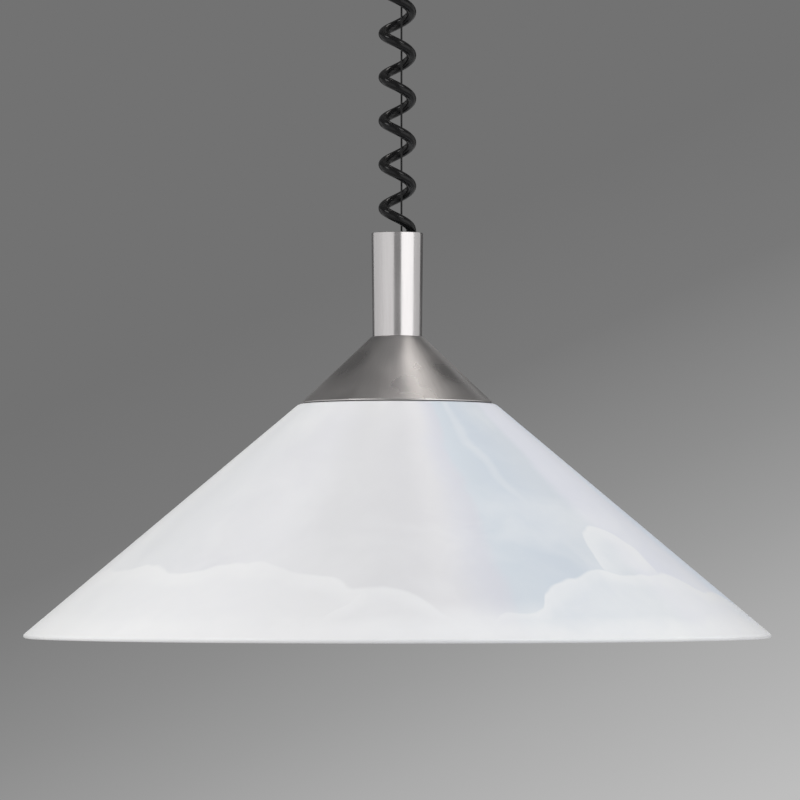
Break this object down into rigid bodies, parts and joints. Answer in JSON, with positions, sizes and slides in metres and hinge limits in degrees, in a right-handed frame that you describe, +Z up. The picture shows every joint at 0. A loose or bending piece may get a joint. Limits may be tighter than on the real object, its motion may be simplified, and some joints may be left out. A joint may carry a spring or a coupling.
{
  "type": "rise and fall pendant",
  "caption": "Ceiling pendant with a white alabaster glass cone shade under a brushed nickel cone and handle tube, on a sprung reel's wire inside a black curly cord.",
  "frame": {"origin": "middle of the ceiling bracket's top face, where it lies against the ceiling", "axes": "+Z up into the ceiling, so that the lamp hangs along -Z; +X from the bracket's middle to the terminal block, square to its two slots; +Y along the line of the two slots, away from the camera"},
  "size_m": [0.4499, 0.45, 0.6566],
  "materials": {
    "brushed_nickel": "brushed",
    "zinc_steel": "zinc plated",
    "bare_steel": "satin",
    "brass": "turned",
    "nickelled_shell": "plated",
    "black_cord": "satin",
    "black_wire": "satin",
    "black_moulding": "satin",
    "white_moulding": "satin",
    "bush_bronze": "oiled sintered bronze",
    "porcelain": "glazed",
    "gasket_rubber": "matte",
    "alabaster_glass": "gloss, opal",
    "brown_insulation": "satin",
    "blue_insulation": "satin",
    "earth_insulation": "satin, green and yellow"
  },
  "bodies": {
    "ceiling_unit": {"ceiling_bracket": "zinc_steel", "rose_cover": "brushed_nickel", "rose_screws": "brushed_nickel", "outlet_bush": "black_moulding", "bush_nut": "black_moulding", "grip_screw": "white_moulding", "cord_tail_upper": "black_cord", "brown_core_upper": "brown_insulation", "blue_core_upper": "blue_insulation", "earth_core_upper": "earth_insulation", "terminal_block": "white_moulding", "terminal_inserts": "brass", "terminal_screws": "bare_steel", "block_screw": "bare_steel", "earth_screw": "brass", "earth_tag": "brass", "earth_link": "earth_insulation", "reel_frame": "bare_steel", "frame_screws": "bare_steel", "reel_axle": "bare_steel", "axle_clip": "zinc_steel", "clock_spring": "bare_steel", "wire_guide": "white_moulding", "reel_wire_lead": "black_wire"},
    "drum": {"wire_drum": "white_moulding", "drum_bush": "bush_bronze", "drum_cover": "white_moulding", "drum_cover_screws": "bare_steel", "wound_wire": "black_wire", "wire_anchor": "brass"},
    "hanger": {"suspension_wire": "black_wire", "curly_cord": "black_cord"},
    "lamp": {"handle_tube": "brushed_nickel", "retaining_ring": "bare_steel", "entry_disc": "zinc_steel", "wire_ferrule": "brass", "cord_crimp": "zinc_steel", "cord_tail_lower": "black_cord", "threaded_rod": "zinc_steel", "rod_nuts": "zinc_steel", "rod_washers": "zinc_steel", "metal_cone": "brushed_nickel", "lampholder_cap": "zinc_steel", "cap_grub_screw": "bare_steel", "earth_terminal": "brass", "earth_clamp_screw": "bare_steel", "lampholder_body": "white_moulding", "porcelain_insert": "porcelain", "holder_terminals": "brass", "holder_terminal_screws": "bare_steel", "screw_shell": "nickelled_shell", "centre_contact": "brass", "brown_core_lower": "brown_insulation", "blue_core_lower": "blue_insulation", "earth_core_lower": "earth_insulation", "upper_gasket": "gasket_rubber", "glass_shade": "alabaster_glass", "lower_gasket": "gasket_rubber", "shade_ring": "white_moulding"}
  },
  "joints": [
    {"name": "swing", "type": "hinge", "parent": "ceiling_unit", "child": "hanger", "pos_m": [0.0025, 0, -0.083], "axis": [0, 1, 0], "range_deg": [-12, 12]},
    {"name": "rise_fall", "type": "slide", "parent": "hanger", "child": "lamp", "axis": [0, 0, 1], "range_m": [-0.3, 0.15], "deforming": ["curly_cord", "suspension_wire"]},
    {"name": "reel_turn", "type": "hinge", "parent": "ceiling_unit", "child": "drum", "pos_m": [-0.0155, 0, -0.038], "axis": [0, 1, 0], "range_deg": [-480, 958]}
  ],
  "couplings": [
    {"joint": "reel_turn", "follows": "rise_fall", "rad_per_m": -55.556}
  ]
}
